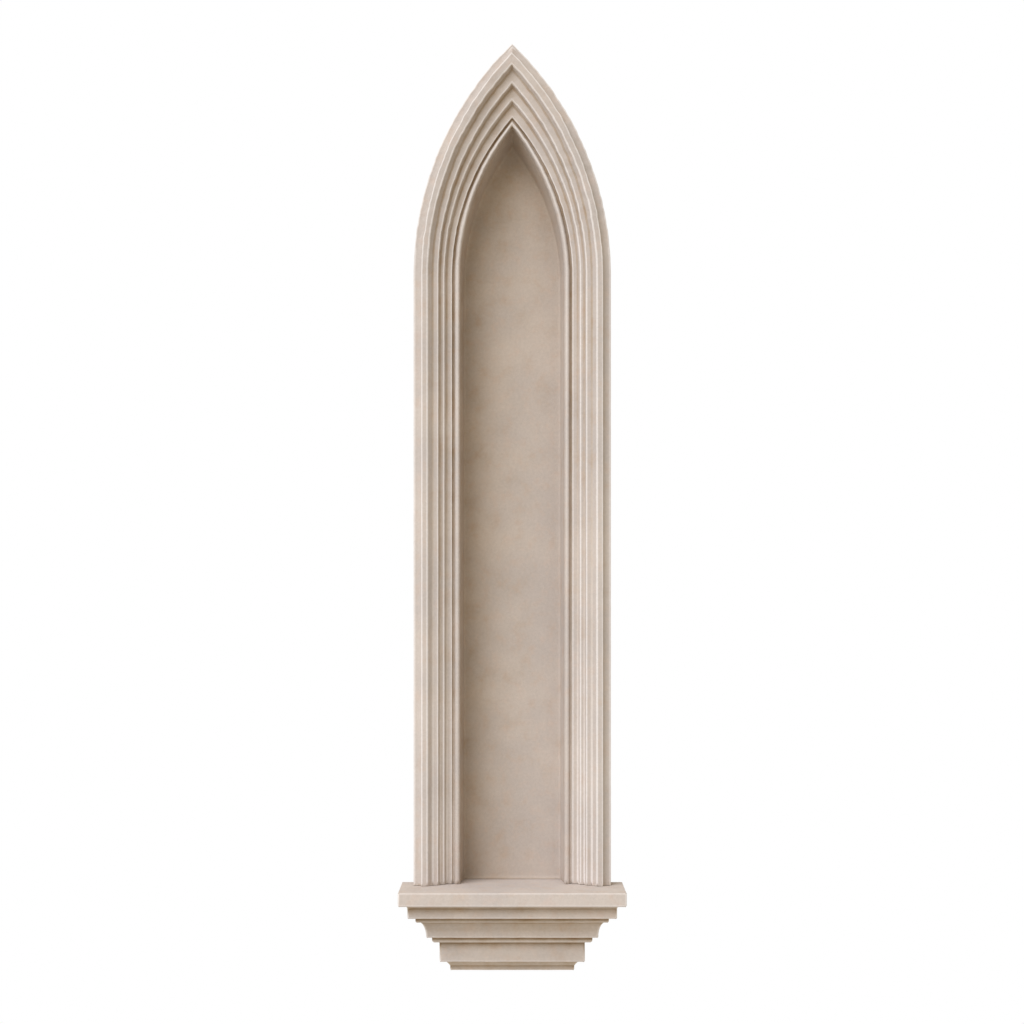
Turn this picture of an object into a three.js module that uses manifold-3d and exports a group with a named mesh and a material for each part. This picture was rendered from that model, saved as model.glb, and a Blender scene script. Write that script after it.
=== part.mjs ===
// Exterior wall niche in cast stone: a moulded lancet surround on a sill, a plain
// recess behind it, and a stepped corbel below. Millimetres, +Z up. The front faces
// -Y, the wall face is the plane y = 0, and the recess goes back into the wall.
// The origin is on the wall face, at mid-height of the corbel's flat back.

import * as THREE from 'three';
import { mergeVertices } from 'three/addons/utils/BufferGeometryUtils.js';
import Module from 'manifold-3d';

const wasm = await Module();
wasm.setup();

// Joint left between two pieces that bear on each other.
const JOINT = 0.3;

// Opening between the jambs, and the pointed arch over it.
const OPENING_WIDTH = 275;
const SPRINGING = 1607;
const ARCH_RISE = 398;
const ARC_STEPS = 28;
const CURVE_STEPS = 5;

// Recess behind the surround. The splay is how far the reveal closes in by the back
// wall, on each jamb and under the crown.
const RECESS_DEPTH = 60;
const REVEAL_SPLAY = 8;
const CROWN_SPLAY = 32;
const SHELL_SIDE = 22;
const SHELL_BACK = 25;

// How far the shell's front edge reaches into the back of the surround, how much
// stone stands in front of it, and how far the roll oversails that edge.
const REBATE = 14;
const LIP = 14;
const ROLL_COVER = 1;

// Members of the surround, from the opening outwards. The width is taken on the
// jamb, the rise is taken on the centre line at the crown.
const ROLL = { width: 16, rise: 18, proud: 3 };
const GROOVE = { width: 5.5, rise: 6.5, depth: 8 };
const INNER_BAND = { width: 15, rise: 35 };
const INNER_STEP = { width: 5.5, rise: 8, depth: 13 };
const MIDDLE_BAND = { width: 11.5, rise: 34.5 };
const MIDDLE_STEP = { width: 4, rise: 7, depth: 13 };
const OUTER_BAND = { width: 15, rise: 35.5 };
const OUTER_STEP = { width: 12.5, rise: 9.5, depth: 15 };
const FRONT_FACE = { width: 16.5, rise: 32 };
const COVE = { width: 21.5, rise: 27.5, depth: 15 };

// Sill: how far it runs past the surround at each end and in front of it.
const SILL_END = 33.5;
const SILL_NOSING = 121;
const SILL_THICKNESS = 36.5;
const SILL_TOP_ARRIS = 2.5;
const SILL_BOTTOM_ARRIS = 5;

// Courses of the corbel, from the sill down. The inset is taken from the face above, at
// the front and at both ends. A flare is a hollow at the top of a face: it stands out
// that far under the course above and dies into the face over a height. Hollow is how
// much it is curved: 0 is a plain splay, and 1 a quarter of an ellipse.
const BED_COURSE = { inset: 23.5, height: 33.5, flare: 5, over: 7.5, hollow: 0.6, round: 3 };
const UPPER_FILLET = { inset: 20, height: 13.5, round: 5 };
const CAVETTO = { inset: 26, height: 43.5, flare: 16.5, over: 34, hollow: 0.75, round: 3 };
const LOWER_FILLET = { inset: 15, height: 15.5, round: 7 };
const BLOCK = { inset: 19, height: 53.5, round: 3 };
const BASE = { inset: 27, height: 26.5, flare: 13, over: 15.5, hollow: 0.2, round: 2.5 };
const COURSES = [BED_COURSE, UPPER_FILLET, CAVETTO, LOWER_FILLET, BLOCK, BASE];

const QUARTER_TURN = Math.PI / 2;

// An edge is one arris of the niche: its half-width on the jamb, the height of its
// crown above the springing, and how far it stands from the wall face along Y.
const edge = (half, rise, y) => ({ half, rise, y });

// The next edge outwards across a member, set forward by a depth.
const across = (from, member, forward = 0) =>
  edge(from.half + member.width, from.rise + member.rise, from.y - forward);

const setBack = (from, distance) => edge(from.half, from.rise, from.y + distance);

// The circle of each half of a pointed arch is centred on the springing line.
const archRadius = ({ half, rise }) => (half ** 2 + rise ** 2) / (2 * half);

// An edge at the same distance outside another all the way round.
function parallel(from, distance) {
  const centre = archRadius(from) - from.half;
  const radius = archRadius(from) + distance;
  return edge(from.half + distance, Math.sqrt(radius ** 2 - centre ** 2), from.y);
}

// Angles of the steps of a quarter round.
function quarter() {
  return Array.from({ length: CURVE_STEPS + 1 }, (_, step) => QUARTER_TURN * step / CURVE_STEPS);
}

// Edges of a quarter curve between two edges. A hollow leaves the first edge along
// the wall face and reaches the second at right angles to it.
function hollow(from, to) {
  return quarter().map((angle) => edge(
    THREE.MathUtils.lerp(from.half, to.half, Math.sin(angle)),
    THREE.MathUtils.lerp(from.rise, to.rise, Math.sin(angle)),
    THREE.MathUtils.lerp(from.y, to.y, 1 - Math.cos(angle)),
  ));
}

// Edges of a half-round that stands forward between two edges at one depth.
function halfRound(from, to, height) {
  const edges = [];
  const steps = 2 * CURVE_STEPS;
  for (let step = 0; step <= steps; step++) {
    const angle = 2 * QUARTER_TURN * step / steps;
    const share = (1 - Math.cos(angle)) / 2;
    edges.push(edge(
      THREE.MathUtils.lerp(from.half, to.half, share),
      THREE.MathUtils.lerp(from.rise, to.rise, share),
      from.y - height * Math.sin(angle),
    ));
  }
  return edges;
}

// Points along an edge: up the left jamb, over the arch and down the right jamb.
function course(line, foot = 0) {
  const radius = archRadius(line);
  const centre = radius - line.half;
  const crownAngle = Math.PI - Math.atan2(line.rise, centre);
  const arc = new THREE.EllipseCurve(centre, SPRINGING, radius, radius, Math.PI, crownAngle, true);
  const left = [new THREE.Vector2(-line.half, foot), ...arc.getPoints(ARC_STEPS)];
  const right = left.slice(0, -1).reverse().map((point) => new THREE.Vector2(-point.x, point.y));
  return [...left, ...right].map((point) => new THREE.Vector3(point.x, line.y, point.y));
}

function volume(points, faces) {
  let total = 0;
  for (const [a, b, c] of faces) {
    total += points[a].dot(new THREE.Vector3().crossVectors(points[b], points[c])) / 6;
  }
  return total;
}

// A closed solid over rings of as many points each, with a flat cap on the first ring
// and on the last. The caps are worked out on the two axes that are given.
function skin(rings, [u, v]) {
  const count = rings[0].length;
  const points = rings.flat();
  const faces = [];
  for (let start = 0; start < points.length - count; start += count) {
    for (let i = 0; i < count; i++) {
      const a = start + i;
      const b = start + (i + 1) % count;
      faces.push([a, b, b + count], [a, b + count, a + count]);
    }
  }
  for (const [ring, outwards] of [[rings[0], -1], [rings.at(-1), 1]]) {
    const first = points.indexOf(ring[0]);
    const outline = ring.map((point) => new THREE.Vector2(point[u], point[v]));
    const turn = outwards * Math.sign(THREE.ShapeUtils.area(outline));
    for (const face of THREE.ShapeUtils.triangulateShape(outline, [])) {
      const own = Math.sign(THREE.ShapeUtils.area(face.map((i) => outline[i])));
      const corners = face.map((i) => first + i);
      faces.push(own === turn ? corners : corners.reverse());
    }
  }
  if (volume(points, faces) < 0) faces.forEach((face) => face.reverse());
  const geometry = new THREE.BufferGeometry().setFromPoints(points);
  geometry.setIndex(faces.flat());
  return geometry;
}

function toSolid(geometry) {
  const merged = mergeVertices(geometry);
  return new wasm.Manifold(new wasm.Mesh({
    numProp: 3,
    vertProperties: new Float32Array(merged.attributes.position.array),
    triVerts: new Uint32Array(merged.index.array),
  }));
}

function toGeometry(solid) {
  const mesh = solid.getMesh();
  const geometry = new THREE.BufferGeometry();
  geometry.setAttribute('position', new THREE.BufferAttribute(mesh.vertProperties, 3));
  geometry.setIndex(new THREE.BufferAttribute(mesh.triVerts, 1));
  return geometry;
}

// Edges that more than one piece takes its size from.
const rollInner = edge(OPENING_WIDTH / 2, ARCH_RISE, -REBATE - LIP);
const shellFront = edge(rollInner.half + ROLL_COVER, rollInner.rise + ROLL_COVER, JOINT - REBATE);
const shellOuter = parallel(shellFront, SHELL_SIDE);
const shellBackY = RECESS_DEPTH + SHELL_BACK;

// Section of the surround, as edges from the opening outwards and back along the wall.
function surroundEdges() {
  const rollOuter = across(rollInner, ROLL);
  const grooveFloor = across(rollOuter, GROOVE);
  const grooveArris = setBack(grooveFloor, -GROOVE.depth);
  const innerCorner = across(grooveArris, INNER_BAND);
  const innerArris = across(innerCorner, INNER_STEP, INNER_STEP.depth);
  const middleCorner = across(innerArris, MIDDLE_BAND);
  const middleArris = across(middleCorner, MIDDLE_STEP, MIDDLE_STEP.depth);
  const outerCorner = across(middleArris, OUTER_BAND);
  const outerArris = across(outerCorner, OUTER_STEP, OUTER_STEP.depth);
  const coveArris = across(outerArris, FRONT_FACE);
  const rim = across(coveArris, COVE, -COVE.depth);
  const rebate = parallel(shellOuter, JOINT);
  return [
    ...halfRound(rollInner, rollOuter, GROOVE.depth + ROLL.proud),
    grooveFloor, grooveArris,
    innerCorner, innerArris,
    middleCorner, middleArris,
    outerCorner, outerArris,
    ...hollow(rim, coveArris).reverse(),
    edge(rim.half, rim.rise, 0),
    edge(rebate.half, rebate.rise, 0),
    edge(rebate.half, rebate.rise, -REBATE),
    edge(rollInner.half, rollInner.rise, -REBATE),
  ];
}

const section = surroundEdges();
const surroundHalf = Math.max(...section.map((line) => line.half));
const surroundFront = Math.max(...section.map((line) => -line.y));

function surroundGeometry() {
  const courses = section.map((line) => course(line));
  const rings = courses[0].map((_, station) => courses.map((points) => points[station]));
  return skin(rings, ['x', 'y']);
}

function recessShellGeometry() {
  const shellBack = edge(
    rollInner.half - REVEAL_SPLAY,
    rollInner.rise - CROWN_SPLAY,
    RECESS_DEPTH,
  );
  const outside = [course(shellOuter), course({ ...shellOuter, y: shellBackY })];
  // The recess is open at the foot and in front, so its cutter runs out on both sides.
  const below = -SHELL_BACK;
  const beyond = { ...shellFront, y: shellFront.y - SHELL_BACK };
  const inside = [beyond, shellFront, shellBack].map((line) => course(line, below));
  return toGeometry(toSolid(skin(outside, ['x', 'z'])).subtract(toSolid(skin(inside, ['x', 'z']))));
}

const sillHalf = surroundHalf + SILL_END;
const sillFront = surroundFront + SILL_NOSING;

// Plan of the sill, set back by the same distance at the front and at both ends. A
// tongue as wide as the shell runs back under it to its rear face.
function sillRing(z, inset) {
  const half = sillHalf - inset;
  const front = inset - sillFront;
  const tongue = shellOuter.half;
  return [
    new THREE.Vector3(-half, 0, z),
    new THREE.Vector3(-half, front, z),
    new THREE.Vector3(half, front, z),
    new THREE.Vector3(half, 0, z),
    new THREE.Vector3(tongue, 0, z),
    new THREE.Vector3(tongue, shellBackY, z),
    new THREE.Vector3(-tongue, shellBackY, z),
    new THREE.Vector3(-tongue, 0, z),
  ];
}

function sillGeometry() {
  const foot = quarter().map((angle) => sillRing(
    SILL_BOTTOM_ARRIS * (1 - Math.cos(angle)),
    SILL_BOTTOM_ARRIS * (1 - Math.sin(angle)),
  ));
  const head = quarter().map((angle) => sillRing(
    SILL_THICKNESS - SILL_TOP_ARRIS * (1 - Math.sin(angle)),
    SILL_TOP_ARRIS * (1 - Math.cos(angle)),
  ));
  return skin([...foot, ...head], ['x', 'y']);
}

// Plan of the corbel at one level: flat on the wall face, mitred at the front corners.
function corbelRing(z, inset) {
  const half = sillHalf - inset;
  const front = inset - sillFront;
  return [
    new THREE.Vector3(-half, 0, z),
    new THREE.Vector3(-half, front, z),
    new THREE.Vector3(half, front, z),
    new THREE.Vector3(half, 0, z),
  ];
}

function corbelGeometry() {
  const rings = [];
  let top = corbelHeight;
  let face = 0;
  for (const { inset, height, flare = 0, over = 0, hollow = 0, round } of COURSES) {
    face += inset;
    if (flare > 0) {
      for (const angle of quarter().slice(0, -1)) {
        const splay = angle / QUARTER_TURN;
        const down = hollow * (1 - Math.cos(angle)) + (1 - hollow) * splay;
        const out = hollow * (1 - Math.sin(angle)) + (1 - hollow) * (1 - splay);
        rings.push(corbelRing(top - over * down, face - flare * out));
      }
    }
    rings.push(corbelRing(top - over, face));
    for (const angle of quarter()) {
      const rise = round * (1 - Math.sin(angle));
      rings.push(corbelRing(top - height + rise, face + round * (1 - Math.cos(angle))));
    }
    top -= height;
  }
  return skin(rings, ['x', 'y']);
}

function piece(name, geometry, colour, z) {
  const material = new THREE.MeshStandardMaterial({ color: colour, roughness: 0.9, metalness: 0 });
  const mesh = new THREE.Mesh(geometry, material);
  mesh.name = name;
  mesh.position.z = z;
  return mesh;
}

const corbelHeight = COURSES.reduce((sum, { height }) => sum + height, 0);
const corbelFoot = -corbelHeight / 2;
const sillFoot = corbelHeight / 2 + JOINT;
const surroundFoot = sillFoot + SILL_THICKNESS + JOINT;

const niche = new THREE.Group();
niche.name = 'exterior_wall_niche';
niche.add(
  piece('corbel', corbelGeometry(), '#cbbcae', corbelFoot),
  piece('sill', sillGeometry(), '#cdbfb4', sillFoot),
  piece('recess_shell', recessShellGeometry(), '#c6b5a4', surroundFoot),
  piece('surround', surroundGeometry(), '#ccbfb5', surroundFoot),
);

export default niche;
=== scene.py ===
"""Exterior wall niche in cast stone: moulded lancet surround, plain recess, sill and stepped corbel."""

import math

import bmesh
import bpy
from bpy.props import FloatProperty, FloatVectorProperty, PointerProperty
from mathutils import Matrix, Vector, noise
from mathutils.bvhtree import BVHTree


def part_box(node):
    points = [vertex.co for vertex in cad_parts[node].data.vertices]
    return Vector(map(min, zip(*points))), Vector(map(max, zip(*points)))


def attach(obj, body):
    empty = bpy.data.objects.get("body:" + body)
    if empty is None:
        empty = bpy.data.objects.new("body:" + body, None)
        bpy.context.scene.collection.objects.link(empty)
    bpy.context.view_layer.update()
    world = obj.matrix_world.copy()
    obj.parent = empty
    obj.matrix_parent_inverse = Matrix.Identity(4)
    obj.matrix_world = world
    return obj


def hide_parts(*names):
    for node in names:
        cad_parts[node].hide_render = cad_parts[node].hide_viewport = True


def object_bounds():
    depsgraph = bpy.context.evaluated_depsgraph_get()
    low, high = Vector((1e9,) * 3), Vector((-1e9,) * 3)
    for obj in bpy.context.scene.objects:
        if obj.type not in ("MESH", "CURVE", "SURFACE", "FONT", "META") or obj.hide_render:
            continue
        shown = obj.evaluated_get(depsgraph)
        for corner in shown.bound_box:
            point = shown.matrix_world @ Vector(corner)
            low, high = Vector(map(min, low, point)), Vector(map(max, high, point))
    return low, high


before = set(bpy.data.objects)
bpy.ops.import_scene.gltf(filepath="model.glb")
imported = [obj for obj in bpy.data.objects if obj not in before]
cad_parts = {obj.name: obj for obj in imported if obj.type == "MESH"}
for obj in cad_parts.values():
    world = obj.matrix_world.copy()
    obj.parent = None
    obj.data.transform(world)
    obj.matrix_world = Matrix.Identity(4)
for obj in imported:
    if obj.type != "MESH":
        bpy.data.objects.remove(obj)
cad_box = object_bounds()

bl_info = {
    "name": "Cast stone wall niche",
    "version": (1, 0, 0),
    "blender": (4, 5, 0),
    "location": "3D View > Sidebar > Niche",
    "description": "Finishes the surround, recess, sill and corbel of a pointed wall niche in cast stone",
    "category": "Object",
}

# The view: a level lens on the centre line, kept upright by a vertical shift.
# Pixels, rows and columns are the photograph's, the sensor is in millimetres and the rest in metres.
IMAGE_SIZE = 1024
FOCAL_PIXELS = 1834
HORIZON_ROW = 612
CENTRE_COLUMN = 512.2
SENSOR_WIDTH = 36.0
EYE_DISTANCE = 4.895
EYE_ABOVE_SILL = 0.7204

# Axes, and the ways along them that hidden faces look.
X, Y, Z = range(3)
UP = BACK = 1
DOWN = -1

# Limits of the mesh work, in metres and radians, and the cosine from which a face looks along an axis.
MERGE_DISTANCE = 1e-5
FLAT_ANGLE = math.radians(0.5)
SHARP_ANGLE = math.radians(40)
SMOOTH_ANGLE = math.radians(36)
FACING = 0.98

# The turn from which a round member starts to take its pale mark, partly wear and partly painted highlight,
# and the turn from which it takes it fully.
SOFT_BEND = math.radians(19)
FULL_BEND = math.radians(29)

# A face takes a border where it is more than this many borders wide.
NARROW = 3.4

# How many rows the hollow at the foot of the back wall has.
FOOT_ROWS = 4

# The share of a mitred corner's pale mark, partly wear and partly painted highlight, that a level arris of
# the sill and the corbel has, and how far a normal leans both to the front and to the side where a mitre's
# pale mark starts and where it is full.
LEVEL_WEAR_AND_HIGHLIGHT = 0.35
MITRE_START = 0.15
MITRE_FULL = 0.35

# How far off stone still adds painted shade for a recess, or for a crease, and how far off the surface rays
# start, in metres.
RECESS_SHADE_REACH = 0.14
CREASE_SHADE_REACH = 0.022
RAY_START = 0.0015

# The light whose shadow is painted on the stone: the way towards it, to the upper left front, how wide its
# cone is for its length, and how far off stone still casts that painted shadow, in metres.
PAINTED_SHADOW_LIGHT = Vector((-0.53, -0.46, 0.70))
PAINTED_SHADOW_CONE = 0.5
PAINTED_SHADOW_REACH = 0.4

# The two waves of the unevenness, their lengths in metres and their strengths.
BROAD_WAVE = 0.07
FINE_WAVE = 0.018
BROAD_STRENGTH = 0.4
FINE_STRENGTH = 0.8

# The height over which the arch's own unevenness sets in, in metres.
ARCH_EASE = 0.12

# The seed of the unevenness. Blender would otherwise start its noise vectors from the clock.
NOISE_SEED = 1

# How strongly each piece shows its marks: pale arrises, partly wear and partly painted highlight, and
# painted shade in brown in corners, creases and recesses, with a painted shadow on the sides away from the
# upper left light.
# Open is how much of that painted shadow mark still leaves the stone unshaded, and patches is how unevenly
# the brown lies.
SURROUND_MARKS = {
    "arris": 0.75, "root": 0.4, "crease_shade": 0.3, "recess_shade": 0.0, "painted_shadow": 0.6,
    "open": 0.45, "patches": 1.3,
}
RECESS_MARKS = {
    "arris": 0.0, "root": 0.1, "crease_shade": 0.1, "recess_shade": 0.25, "painted_shadow": 0.42,
    "open": 0.0, "patches": 0.7,
}
SILL_MARKS = {
    "arris": 0.9, "root": 0.8, "crease_shade": 0.2, "recess_shade": 0.0, "painted_shadow": 0.0,
    "open": 0.0, "patches": 1.3,
}
CORBEL_MARKS = {
    "arris": 0.9, "root": 0.5, "crease_shade": 1.0, "recess_shade": 0.0, "painted_shadow": 0.8,
    "open": 0.4, "patches": 1.2,
}

# Noise patterns of the stone, from broad to fine: scale, detail and roughness.
CLOUDS = (5.5, 3.0, 0.55)
STAINS = (17.0, 3.0, 0.6)
BLOTCHES = (34.0, 4.0, 0.6)
MOTTLE = (130.0, 2.0, 0.6)
GRAIN = (700.0, 2.0, 0.6)

# The value that a noise pattern lies around.
MIDDLE = 0.5

# Pores: their scale, and where a pore's rim starts and ends, in spacings from its centre.
PORE_SCALE = 160.0
PORE_RIM = (0.05, 0.16)

# Where in its pattern each colour sets in and is full, and how much of the colour that brings.
CLOUD_EDGE = (0.36, 0.64)
ROSY_EDGE = (0.45, 0.72)
ROSY_SHARE = 0.7
STAIN_EDGE = (0.5, 0.75)
STAIN_SHARE = 0.1

# How much each pattern lightens or darkens the stone, and how much it raises or sinks it.
SHADE = {"clouds": 0.2, "mottle": 0.20, "grain": 0.28, "pore": 0.12}
RELIEF = {"grain": 0.5, "mottle": 0.6, "pore": 0.5}

# The surface: strength and depth of the relief in metres, roughness and its spread, and gloss.
BUMP_STRENGTH = 0.35
BUMP_DEPTH = 0.0008
ROUGHNESS = 0.84
ROUGHNESS_SPREAD = 0.2
SPECULAR = 0.25
FLOOR_ROUGHNESS = 0.9


def linear(red, green, blue):
    """A colour given in 0 to 255 steps, as the light it stands for on the sRGB curve."""
    def channel(step):
        part = step / 255
        return part / 12.92 if part <= 0.04045 else ((part + 0.055) / 1.055) ** 2.4
    return channel(red), channel(green), channel(blue)


class StoneSettings(bpy.types.PropertyGroup):
    """Colours, with the tints of the painted highlights and shade, and small sizes of the cast stone."""
    body: FloatVectorProperty(
        name="Stone", description="Clean cast stone on an open face",
        subtype="COLOR", size=3, min=0, max=1, default=linear(200, 191, 188))
    rosy: FloatVectorProperty(
        name="Rosy clouds", description="Warmer clouds in the stone",
        subtype="COLOR", size=3, min=0, max=1, default=linear(203, 189, 184))
    grey: FloatVectorProperty(
        name="Grey clouds", description="Cooler clouds in the stone",
        subtype="COLOR", size=3, min=0, max=1, default=linear(196, 188, 187))
    # Pale colour of the arrises: partly wear and partly painted highlight.
    worn_and_lit_arris: FloatVectorProperty(
        name="Worn arris", description="Paler stone along the arrises",
        subtype="COLOR", size=3, min=0, max=1, default=(0.83, 0.80, 0.83))
    # Brown used both for real stains and for the painted shade in corners, creases, recesses and on the
    # sides away from the light.
    stain_and_shade_brown: FloatVectorProperty(
        name="Sheltered stone", description="Brown tint of the stone that the rain doesn't wash",
        subtype="COLOR", size=3, min=0, max=1, default=(0.52, 0.36, 0.13))
    arris: FloatProperty(
        name="Arris radius", description="Rounding of the surround's arrises",
        unit="LENGTH", default=0.0022, min=0, max=0.01)
    corner: FloatProperty(
        name="Corner radius", description="Rounding of the mitred corners of the sill and the corbel",
        unit="LENGTH", default=0.004, min=0, max=0.01)
    hollow: FloatProperty(
        name="Hollow radius", description="Fillet between the reveal and the back wall of the recess",
        unit="LENGTH", default=0.006, min=0, max=0.02)
    foot: FloatProperty(
        name="Foot radius", description="Hollow at the foot of the recess's back wall",
        unit="LENGTH", default=0.01, min=0.001, max=0.03)
    # How far the pale mark of an arris, partly wear and partly painted highlight, and the painted shade of
    # a corner run on into the faces.
    highlight_and_shade_fade: FloatProperty(
        name="Wear", description="How far the wear of an arris runs on into its faces",
        unit="LENGTH", default=0.0018, min=0, max=0.01)
    unevenness: FloatProperty(
        name="Unevenness", description="How far a face or line wanders from true",
        unit="LENGTH", default=0.0004, min=0, max=0.003)
    arch_unevenness: FloatProperty(
        name="Unevenness of the arch", description="How far the arch's lines wander from true",
        unit="LENGTH", default=0.0021, min=0, max=0.003)
    row: FloatProperty(
        name="Row height", description="Spacing of the rows that let a long face wander",
        unit="LENGTH", default=0.012, min=0.002, max=0.5)
    course_row: FloatProperty(
        name="Row height of the courses", description="Spacing of the rows across the corbel's courses",
        unit="LENGTH", default=0.005, min=0.002, max=0.5)
    arch_row: FloatProperty(
        name="Row height in the arch", description="Spacing of the finer rows in the surround's arch",
        unit="LENGTH", default=0.006, min=0.002, max=0.5)


class StageSettings(bpy.types.PropertyGroup):
    """Floor and light of the studio."""
    floor_colour: FloatVectorProperty(
        name="Floor", description="Plain pale floor", subtype="COLOR",
        size=3, min=0, max=1, default=(0.8, 0.8, 0.8))
    floor_drop: FloatProperty(
        name="Floor drop", description="How far the floor lies below the corbel",
        unit="LENGTH", default=0.75, min=0, max=5)
    floor_size: FloatProperty(
        name="Floor size", description="Side of the square floor",
        unit="LENGTH", default=5.0, min=1, max=20)
    key: FloatProperty(
        name="Key light", description="Irradiance of the soft key light from the upper left",
        default=2.22, min=0, max=20)
    key_turn: FloatProperty(
        name="Key turn", description="How far the key light stands to the left of the front",
        subtype="ANGLE", default=math.radians(38), min=0, max=math.pi / 2)
    key_height: FloatProperty(
        name="Key height", description="How far the key light stands above the level",
        subtype="ANGLE", default=math.radians(44), min=0, max=math.pi / 2)
    key_spread: FloatProperty(
        name="Key spread", description="Angle that the key light's source covers",
        subtype="ANGLE", default=math.radians(50), min=0, max=math.pi)
    ambient: FloatProperty(
        name="Ambient", description="Brightness of the surroundings on the stone",
        default=0.58, min=0, max=5)
    ambient_colour: FloatVectorProperty(
        name="Ambient colour", description="Warm tint of the surroundings",
        subtype="COLOR", size=3, min=0, max=2, default=(1.09, 1.0, 0.81))


class Value:
    """A shader socket that adds its Math nodes as it is used in a sum."""

    def __init__(self, graph, socket):
        self.graph = graph
        self.socket = socket

    def combine(self, operation, first, second):
        node = self.graph.node("ShaderNodeMath", {"operation": operation}, {0: first, 1: second})
        return Value(self.graph, node.outputs[0])

    def __add__(self, other):
        return self.combine("ADD", self, other)

    __radd__ = __add__

    def __sub__(self, other):
        return self.combine("SUBTRACT", self, other)

    def __rsub__(self, other):
        return self.combine("SUBTRACT", other, self)

    def __mul__(self, other):
        return self.combine("MULTIPLY", self, other)

    __rmul__ = __mul__


class Graph:
    """The nodes of one material."""

    def __init__(self, name):
        self.material = bpy.data.materials.new(name)
        self.material.use_nodes = True
        self.tree = self.material.node_tree
        self.tree.nodes.clear()

    def node(self, kind, settings=None, inputs=None):
        """Adds a node, sets its settings first and then the values or links of its sockets."""
        node = self.tree.nodes.new(kind)
        for name, setting in (settings or {}).items():
            setattr(node, name, setting)
        for name, given in (inputs or {}).items():
            if isinstance(given, Value):
                self.tree.links.new(given.socket, node.inputs[name])
            else:
                node.inputs[name].default_value = given
        return node

    def value(self, kind, settings=None, inputs=None, output=0):
        """Adds a node and gives one of its outputs as a value."""
        return Value(self, self.node(kind, settings, inputs).outputs[output])

    def attribute(self, name):
        return self.value("ShaderNodeAttribute", {"attribute_name": name}, output="Fac")

    def noise(self, place, scale, detail, roughness):
        return self.value("ShaderNodeTexNoise", {}, {
            "Vector": place, "Scale": scale, "Detail": detail, "Roughness": roughness})

    def window(self, value, low, high):
        """A value stretched so that low gives 0 and high gives 1."""
        return self.value("ShaderNodeMapRange", {"interpolation_type": "SMOOTHSTEP"}, {
            "Value": value, "From Min": low, "From Max": high, "To Min": 0.0, "To Max": 1.0})

    def mix(self, factor, first, second, blend="MIX"):
        """A colour between two, where 6 and 7 are the Mix node's colour sockets."""
        return self.value("ShaderNodeMix", {"data_type": "RGBA", "blend_type": blend}, {
            0: factor, 6: first, 7: second}, output=2)


def opaque(colour):
    """A colour with the full alpha that a colour socket asks for."""
    return (*colour, 1.0)


def stone_material(name, settings, marks):
    """Cast stone: clouds, stains, mottling, sandy grain and pores, pale arrises that are partly wear and
    partly painted highlight, and painted shade in brown in corners, creases, recesses and on the sides away
    from the light.
    """
    graph = Graph(name)
    place = graph.value("ShaderNodeTexCoord", output="Object")
    clouds = graph.noise(place, *CLOUDS)
    stains = graph.noise(place, *STAINS)
    blotches = graph.noise(place, *BLOTCHES)
    mottle = graph.noise(place, *MOTTLE)
    grain = graph.noise(place, *GRAIN)
    pores = graph.value("ShaderNodeTexVoronoi", {"feature": "F1"}, {"Vector": place, "Scale": PORE_SCALE})
    pore = 1 - graph.window(pores, *PORE_RIM)
    cloudy = graph.window(clouds, *CLOUD_EDGE)
    rosy = graph.window(blotches, *ROSY_EDGE) * ROSY_SHARE
    stained = graph.window(stains, *STAIN_EDGE) * STAIN_SHARE
    # One brown for the real stains and for the painted shade.
    stain_and_shade_colour = opaque(settings.stain_and_shade_brown)

    colour = graph.mix(cloudy, opaque(settings.grey), opaque(settings.body))
    colour = graph.mix(rosy, colour, opaque(settings.rosy))
    colour = graph.mix(stained, colour, stain_and_shade_colour, "MULTIPLY")
    # Pale arrises: partly wear and partly painted highlight.
    colour = graph.mix(graph.attribute("arris") * marks["arris"], colour, opaque(settings.worn_and_lit_arris))
    # Painted shade in brown: in corners, creases and recesses, and a painted shadow on the sides away from
    # the upper left light, laid unevenly.
    patches = 1 + (stains - MIDDLE) * marks["patches"]
    painted_shades = {mark: graph.attribute(mark) for mark in ("root", "crease_shade", "recess_shade")}
    painted_shades["painted_shadow"] = graph.attribute("painted_shadow") - marks["open"]
    for mark, spread in painted_shades.items():
        colour = graph.mix(spread * marks[mark] * patches, colour, stain_and_shade_colour, "MULTIPLY")
    shade = (
        1 + (clouds - MIDDLE) * SHADE["clouds"] + (mottle - MIDDLE) * SHADE["mottle"]
        + (grain - MIDDLE) * SHADE["grain"] - pore * SHADE["pore"]
    )
    tint = graph.value("ShaderNodeCombineColor", {}, {0: shade, 1: shade, 2: shade})
    colour = graph.mix(1.0, colour, tint, "MULTIPLY")

    height = grain * RELIEF["grain"] + mottle * RELIEF["mottle"] - pore * RELIEF["pore"]
    bump = graph.value("ShaderNodeBump", {}, {
        "Strength": BUMP_STRENGTH, "Distance": BUMP_DEPTH, "Height": height})
    roughness = ROUGHNESS + (mottle - MIDDLE) * ROUGHNESS_SPREAD
    surface = graph.value("ShaderNodeBsdfPrincipled", {}, {
        "Base Color": colour, "Roughness": roughness, "Specular IOR Level": SPECULAR, "Normal": bump})
    graph.node("ShaderNodeOutputMaterial", {}, {"Surface": surface})
    return graph.material


def merged_copy(node):
    """The solid of a node as one merged shape with its flat faces joined."""
    shape = bmesh.new()
    shape.from_mesh(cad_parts[node].data)
    bmesh.ops.remove_doubles(shape, verts=shape.verts, dist=MERGE_DISTANCE)
    bmesh.ops.dissolve_limit(
        shape, angle_limit=FLAT_ANGLE, verts=shape.verts, edges=shape.edges, use_dissolve_boundaries=False)
    return shape


def is_hidden(face, hidden):
    """Whether the face looks one of the ways that other stone hides."""
    return any(face.normal[axis] * sign > FACING for axis, sign in hidden)


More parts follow.
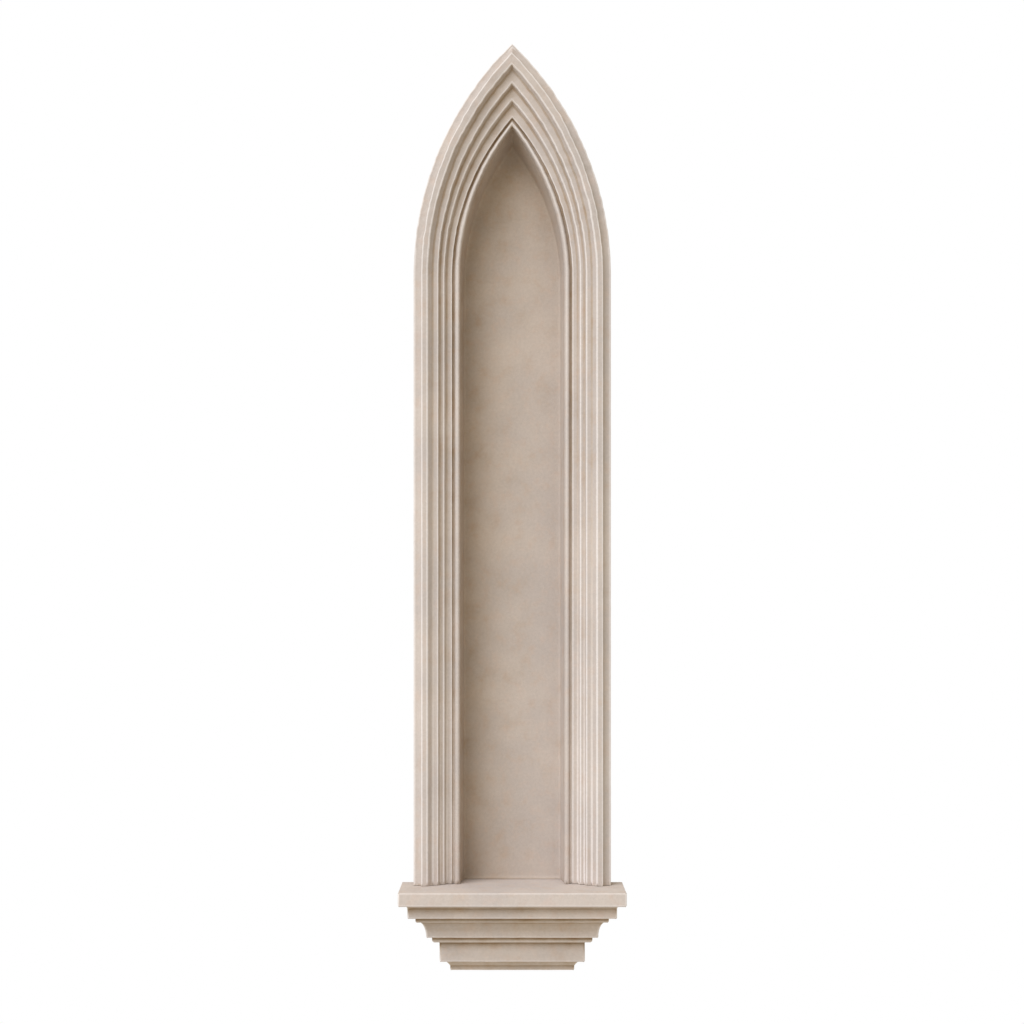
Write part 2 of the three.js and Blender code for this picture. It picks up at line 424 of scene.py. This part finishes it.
def beside_hidden(edge, hidden):
    """Whether the edge borders one of the faces that other stone hides."""
    return any(is_hidden(face, hidden) for face in edge.link_faces)


def is_ridge(edge):
    """Whether the edge is a ridge on the centre line, where the two halves of the arch meet."""
    central = all(abs(vert.co.x) < MERGE_DISTANCE for vert in edge.verts)
    return central and edge.calc_face_angle_signed(0.0) > 0


def sharp_edges(shape, hidden):
    """The arrises and corners of the shape, apart from the ridges and those that border a hidden face."""
    return [
        edge for edge in shape.edges
        if abs(edge.calc_face_angle_signed(0.0)) > SHARP_ANGLE
        and not beside_hidden(edge, hidden) and not is_ridge(edge)
    ]


def face_width(face):
    """How wide a face is across its longest edge."""
    across = face.calc_area() / max(edge.calc_length() for edge in face.edges)
    return across * 2 if len(face.verts) == 3 else across


def round_edges(shape, sharp, radius):
    """Rounds arrises and fillets corners. It marks the arrises, with what was round before, for a pale mark
    that is partly wear and partly painted highlight, and marks the corners for painted shade.
    """
    arris = shape.verts.layers.float.new("arris")
    root = shape.verts.layers.float.new("root")
    for vert in shape.verts:
        # Round members are marked pale by how sharply they bend: partly wear and partly painted highlight.
        bends = [edge.calc_face_angle_signed(0.0) for edge in vert.link_edges]
        if max(abs(bend) for bend in bends) < SHARP_ANGLE:
            vert[arris] = share(max(bends), SOFT_BEND, FULL_BEND)
    rounded = bmesh.ops.bevel(
        shape, geom=sharp, offset=radius, offset_type="OFFSET", affect="EDGES",
        segments=3, profile=0.5, material=-1, clamp_overlap=False)
    # New rounded arrises take the pale mark of wear and painted highlight, and new fillets in corners take
    # painted shade.
    for vert in rounded["verts"]:
        turn = sum(edge.calc_face_angle_signed(0.0) for edge in vert.link_edges)
        vert[arris if turn > 0 else root] = 1
    return rounded["faces"]


def ease_level_wear_and_highlight(shape):
    """Leaves the full pale mark, partly wear and partly painted highlight, to the mitred corners, which
    look half to the front and half to the side.
    """
    arris = shape.verts.layers.float["arris"]
    shape.normal_update()
    for vert in shape.verts:
        mitre = share(min(abs(vert.normal.x), abs(vert.normal.y)), MITRE_START, MITRE_FULL)
        vert[arris] *= LEVEL_WEAR_AND_HIGHLIGHT + (1 - LEVEL_WEAR_AND_HIGHLIGHT) * mitre


def round_foot(shape, radius):
    """Lets the lowest stretch of the back wall run out into the floor in a hollow."""
    foot = min(vert.co.z for vert in shape.verts)
    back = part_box("recess_shell")[1].y
    cut_rows(shape, Z, radius / FOOT_ROWS, low=foot, high=foot + radius)
    shape.normal_update()
    for vert in shape.verts:
        level = vert.co.z - foot
        facing = max(0, -vert.normal.y)
        if level < radius and 0 < vert.co.y < back - MERGE_DISTANCE:
            vert.co.y -= facing * (radius - math.sqrt(radius ** 2 - (radius - level) ** 2))


def border_faces(shape, rounded, width, hidden):
    """Gives each plain face a border, over which the pale mark of its arrises, partly wear and partly
    painted highlight, and the painted shade of its corners fade.
    """
    arris = shape.verts.layers.float["arris"]
    root = shape.verts.layers.float["root"]
    taken = set(rounded)
    plain = [
        face for face in shape.faces
        if face not in taken and not is_hidden(face, hidden) and face_width(face) > NARROW * width
    ]
    bmesh.ops.inset_region(shape, faces=plain, thickness=width, use_even_offset=True)
    for face in plain:
        for vert in face.verts:
            vert[arris] = 0
            vert[root] = 0


def cut_rows(shape, axis, spacing, low=None, high=None):
    """Cuts the shape across an axis into rows of even height, between two places on the axis."""
    places = [vert.co[axis] for vert in shape.verts]
    low = min(places) if low is None else low
    high = max(places) if high is None else high
    count = max(1, round((high - low) / spacing))
    normal = Vector([float(index == axis) for index in range(3)])
    for row in range(1, count):
        bmesh.ops.bisect_plane(
            shape, geom=shape.verts[:] + shape.edges[:] + shape.faces[:], dist=MERGE_DISTANCE,
            plane_co=normal * (low + (high - low) * row / count), plane_no=normal)


def every_solid():
    """All the solids of the niche as one tree of faces."""
    verts = []
    faces = []
    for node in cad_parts.values():
        first = len(verts)
        verts.extend(vert.co.copy() for vert in node.data.vertices)
        faces.extend(tuple(first + index for index in face.vertices) for face in node.data.polygons)
    return BVHTree.FromPolygons(verts, faces)


def hemisphere(count):
    """Directions spread over the half sphere round +Z, closer together near the pole."""
    golden = math.pi * (3 - math.sqrt(5))
    directions = []
    for index in range(count):
        height = math.sqrt((index + 0.5) / count)
        radius = math.sqrt(1 - height ** 2)
        turn = golden * index
        directions.append(Vector((radius * math.cos(turn), radius * math.sin(turn), height)))
    return directions


def share(value, low, high):
    """How far a value has come from low to high, as a part of one."""
    return min(1, max(0, (value - low) / (high - low)))


def painted_shadow_directions(count):
    """Directions towards the light whose shadow is painted, spread evenly over its cone."""
    turn = PAINTED_SHADOW_LIGHT.to_track_quat("Z", "Y")
    return [
        turn @ Vector((direction.x * PAINTED_SHADOW_CONE, direction.y * PAINTED_SHADOW_CONE, 1)).normalized()
        for direction in hemisphere(count)
    ]


def soften_layer(shape, layer, passes):
    """Evens out a mark between neighbours."""
    for _ in range(passes):
        evened = []
        for vert in shape.verts:
            near = [edge.other_vert(vert)[layer] for edge in vert.link_edges]
            evened.append((vert[layer] + sum(near)) / (1 + len(near)))
        for vert, mark in zip(shape.verts, evened):
            vert[layer] = mark


def mark_painted_shade(shape, rays, passes):
    """Marks painted shade: in creases by near stone, in recesses by far stone, and a painted shadow where
    stone is turned from or hidden from the upper left light.
    """
    crease_shade, recess_shade, painted_shadow = (shape.verts.layers.float.new(name) for name in ("crease_shade", "recess_shade", "painted_shadow"))
    solids = every_solid()
    directions = hemisphere(rays)
    painted_shadow_ways = painted_shadow_directions(rays // 2)
    shape.normal_update()
    for vert in shape.verts:
        turn = vert.normal.to_track_quat("Z", "Y")
        start = vert.co + vert.normal * RAY_START
        # Painted shade from nearby stone, in recesses and in creases.
        for direction in directions:
            distance = solids.ray_cast(start, turn @ direction, RECESS_SHADE_REACH)[3]
            if distance is not None:
                vert[recess_shade] += (1 - distance / RECESS_SHADE_REACH) / len(directions)
                vert[crease_shade] += max(0, 1 - distance / CREASE_SHADE_REACH) / len(directions)
        # Painted shadow: the share of ways towards the upper left light that are turned away or blocked by
        # stone.
        for direction in painted_shadow_ways:
            turned_away = direction.dot(vert.normal) < 0
            if turned_away or solids.ray_cast(start, direction, PAINTED_SHADOW_REACH)[0] is not None:
                vert[painted_shadow] += 1 / len(painted_shadow_ways)
    soften_layer(shape, crease_shade, passes // 2)
    soften_layer(shape, recess_shade, passes)
    soften_layer(shape, painted_shadow, passes)


def let_wander(shape, node, stone, seed):
    """Lets each face and line wander a little from true, more so in the arch, within the node's box."""
    low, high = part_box(node)
    front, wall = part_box("surround")[0].y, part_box("surround")[1].y
    arch_foot = springing()
    noise.seed_set(NOISE_SEED)
    offset = Vector((seed, 0, 0))
    shape.normal_update()
    moves = []
    for vert in shape.verts:
        broad = noise.noise_vector(vert.co / BROAD_WAVE + offset)
        fine = noise.noise_vector(vert.co / FINE_WAVE + offset)
        arch = share(vert.co.z, arch_foot, arch_foot + ARCH_EASE) * share(vert.co.y, wall, front)
        wander = stone.unevenness + (stone.arch_unevenness - stone.unevenness) * arch
        sway = broad * BROAD_STRENGTH + fine * FINE_STRENGTH
        moves.append(sway * wander - vert.normal * stone.unevenness)
    for vert, move in zip(shape.verts, moves):
        vert.co = [
            min(top, max(bottom, place))
            for bottom, place, top in zip(low, vert.co + move, high)
        ]


def springing():
    """The height up to which the jambs keep their full width, and from which the arch springs."""
    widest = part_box("surround")[1].x - MERGE_DISTANCE
    return max(vert.co.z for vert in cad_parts["surround"].data.vertices if vert.co.x > widest)


def finish_piece(name, shape, node, material):
    """Makes the shape an object that stands for its node."""
    mesh = bpy.data.meshes.new(name)
    shape.to_mesh(mesh)
    shape.free()
    mesh.shade_smooth()
    mesh.set_sharp_from_angle(angle=SMOOTH_ANGLE)
    mesh.materials.append(material)
    piece = bpy.data.objects.new(name, mesh)
    bpy.context.scene.collection.objects.link(piece)
    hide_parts(node)
    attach(piece, "root")
    return piece


def mark_shade_and_wander(shape, node, stone, seed, rays=36, passes=0):
    """Marks the painted shade and painted shadow of each place, and then lets the shape wander from true.
    """
    mark_painted_shade(shape, rays, passes)
    let_wander(shape, node, stone, seed)


class NICHE_OT_surround(bpy.types.Operator):
    """Finish the moulded lancet surround"""
    bl_idname = "niche.surround"
    bl_label = "Surround"

    def execute(self, context):
        stone = context.scene.niche_stone
        shape = merged_copy("surround")
        hidden = ((Z, DOWN), (Y, BACK))
        rounded = round_edges(shape, sharp_edges(shape, hidden), stone.arris)
        border_faces(shape, rounded, stone.highlight_and_shade_fade, hidden)
        arch_foot = springing()
        cut_rows(shape, Z, stone.row, high=arch_foot)
        cut_rows(shape, Z, stone.arch_row, low=arch_foot)
        mark_shade_and_wander(shape, "surround", stone, seed=3)
        material = stone_material("surround_stone", stone, SURROUND_MARKS)
        piece = finish_piece("moulded_surround", shape, "surround", material)
        return {"FINISHED"}


class NICHE_OT_recess(bpy.types.Operator):
    """Finish the splayed reveal and the back wall of the recess"""
    bl_idname = "niche.recess"
    bl_label = "Recess"

    def execute(self, context):
        stone = context.scene.niche_stone
        shape = merged_copy("recess_shell")
        fronts = [face for face in shape.faces if face.normal.y < -FACING]
        back_wall = max(fronts, key=lambda face: face.calc_area())
        outline = [edge for edge in back_wall.edges if edge.calc_face_angle_signed(0.0) < 0]
        round_edges(shape, outline, stone.hollow)
        for axis in (X, Y, Z):
            cut_rows(shape, axis, stone.row)
        round_foot(shape, stone.foot)
        mark_shade_and_wander(shape, "recess_shell", stone, seed=11, rays=120, passes=4)
        material = stone_material("recess_stone", stone, RECESS_MARKS)
        piece = finish_piece("recess", shape, "recess_shell", material)
        return {"FINISHED"}


class NICHE_OT_sill(bpy.types.Operator):
    """Finish the sill slab"""
    bl_idname = "niche.sill"
    bl_label = "Sill"

    def execute(self, context):
        stone = context.scene.niche_stone
        shape = merged_copy("sill")
        hidden = ((Z, DOWN), (Y, BACK))
        rounded = round_edges(shape, sharp_edges(shape, hidden), stone.corner)
        ease_level_wear_and_highlight(shape)
        border_faces(shape, rounded, stone.highlight_and_shade_fade, hidden)
        for axis in (X, Y):
            cut_rows(shape, axis, stone.row)
        mark_shade_and_wander(shape, "sill", stone, seed=19)
        material = stone_material("sill_stone", stone, SILL_MARKS)
        piece = finish_piece("sill_slab", shape, "sill", material)
        return {"FINISHED"}


class NICHE_OT_corbel(bpy.types.Operator):
    """Finish the stepped corbel"""
    bl_idname = "niche.corbel"
    bl_label = "Corbel"

    def execute(self, context):
        stone = context.scene.niche_stone
        shape = merged_copy("corbel")
        hidden = ((Z, UP), (Y, BACK))
        rounded = round_edges(shape, sharp_edges(shape, hidden), stone.corner)
        ease_level_wear_and_highlight(shape)
        border_faces(shape, rounded, stone.highlight_and_shade_fade, hidden)
        for axis in (X, Y):
            cut_rows(shape, axis, stone.row)
        cut_rows(shape, Z, stone.course_row)
        mark_shade_and_wander(shape, "corbel", stone, seed=27)
        material = stone_material("corbel_stone", stone, CORBEL_MARKS)
        piece = finish_piece("stepped_corbel", shape, "corbel", material)
        return {"FINISHED"}


def add_floor(stage):
    """A plain pale floor, well below the corbel."""
    graph = Graph("floor")
    surface = graph.value("ShaderNodeBsdfPrincipled", {}, {
        "Base Color": opaque(stage.floor_colour), "Roughness": FLOOR_ROUGHNESS})
    graph.node("ShaderNodeOutputMaterial", {}, {"Surface": surface})
    shape = bmesh.new()
    bmesh.ops.create_grid(shape, x_segments=1, y_segments=1, size=stage.floor_size / 2)
    bmesh.ops.translate(shape, verts=shape.verts, vec=(0, 0, cad_box[0].z - stage.floor_drop))
    mesh = bpy.data.meshes.new("floor")
    shape.to_mesh(mesh)
    shape.free()
    mesh.materials.append(graph.material)
    floor = bpy.data.objects.new("floor", mesh)
    bpy.context.scene.collection.objects.link(floor)


def add_sun(name, towards, strength, spread):
    """A soft parallel light that shines along a direction."""
    light = bpy.data.lights.new(name, "SUN")
    light.energy = strength
    light.angle = spread
    lamp = bpy.data.objects.new(name, light)
    lamp.rotation_euler = Vector(towards).to_track_quat("-Z", "Y").to_euler()
    bpy.context.scene.collection.objects.link(lamp)


def add_surroundings(strength, tint):
    """Even warm light on the stone, and plain white behind it."""
    world = bpy.data.worlds.new("surroundings")
    bpy.context.scene.world = world
    world.use_nodes = True
    nodes = world.node_tree.nodes
    links = world.node_tree.links
    nodes.clear()
    rays = nodes.new("ShaderNodeLightPath")
    stage_light = nodes.new("ShaderNodeBackground")
    stage_light.inputs["Color"].default_value = opaque(tint)
    stage_light.inputs["Strength"].default_value = strength
    backdrop = nodes.new("ShaderNodeBackground")
    backdrop.inputs["Color"].default_value = opaque((1, 1, 1))
    backdrop.inputs["Strength"].default_value = 1.0
    chosen = nodes.new("ShaderNodeMixShader")
    output = nodes.new("ShaderNodeOutputWorld")
    links.new(rays.outputs["Is Camera Ray"], chosen.inputs[0])
    links.new(stage_light.outputs[0], chosen.inputs[1])
    links.new(backdrop.outputs[0], chosen.inputs[2])
    links.new(chosen.outputs[0], output.inputs["Surface"])


def add_camera():
    """A level camera on the centre line, with its horizon where the niche shows it."""
    sill_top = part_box("sill")[1].z
    lens = bpy.data.cameras.new("camera")
    lens.sensor_width = SENSOR_WIDTH
    lens.lens = FOCAL_PIXELS / IMAGE_SIZE * SENSOR_WIDTH
    lens.shift_x = (IMAGE_SIZE / 2 - CENTRE_COLUMN) / IMAGE_SIZE
    lens.shift_y = (HORIZON_ROW - IMAGE_SIZE / 2) / IMAGE_SIZE
    camera = bpy.data.objects.new("camera", lens)
    camera.location = (0, -EYE_DISTANCE, sill_top + EYE_ABOVE_SILL)
    camera.rotation_euler = (math.pi / 2, 0, 0)
    bpy.context.scene.collection.objects.link(camera)
    bpy.context.scene.camera = camera


class NICHE_OT_stage(bpy.types.Operator):
    """Set out the floor, the soft light and the camera"""
    bl_idname = "niche.stage"
    bl_label = "Stage"

    def execute(self, context):
        stage = context.scene.niche_stage
        add_floor(stage)
        level = math.cos(stage.key_height)
        add_sun("key", (
            math.sin(stage.key_turn) * level, math.cos(stage.key_turn) * level, -math.sin(stage.key_height),
        ), stage.key, stage.key_spread)
        add_surroundings(stage.ambient, stage.ambient_colour)
        add_camera()
        context.scene.view_settings.view_transform = "Standard"
        return {"FINISHED"}


STEPS = (NICHE_OT_surround, NICHE_OT_recess, NICHE_OT_sill, NICHE_OT_corbel, NICHE_OT_stage)


class NICHE_PT_sidebar(bpy.types.Panel):
    """The steps that finish the niche"""
    bl_idname = "NICHE_PT_sidebar"
    bl_label = "Wall niche"
    bl_space_type = "VIEW_3D"
    bl_region_type = "UI"
    bl_category = "Niche"

    def draw(self, context):
        for step in STEPS:
            self.layout.operator(step.bl_idname)
        for settings in (context.scene.niche_stone, context.scene.niche_stage):
            box = self.layout.box()
            for name in settings.__annotations__:
                box.prop(settings, name)


CLASSES = (StoneSettings, StageSettings, *STEPS, NICHE_PT_sidebar)


def register():
    for each in CLASSES:
        bpy.utils.register_class(each)
    bpy.types.Scene.niche_stone = PointerProperty(type=StoneSettings)
    bpy.types.Scene.niche_stage = PointerProperty(type=StageSettings)


def unregister():
    del bpy.types.Scene.niche_stage
    del bpy.types.Scene.niche_stone
    for each in reversed(CLASSES):
        bpy.utils.unregister_class(each)


def main():
    register()
    bpy.ops.niche.surround()
    bpy.ops.niche.recess()
    bpy.ops.niche.sill()
    bpy.ops.niche.corbel()
    bpy.ops.niche.stage()


if __name__ == "__main__":
    main()
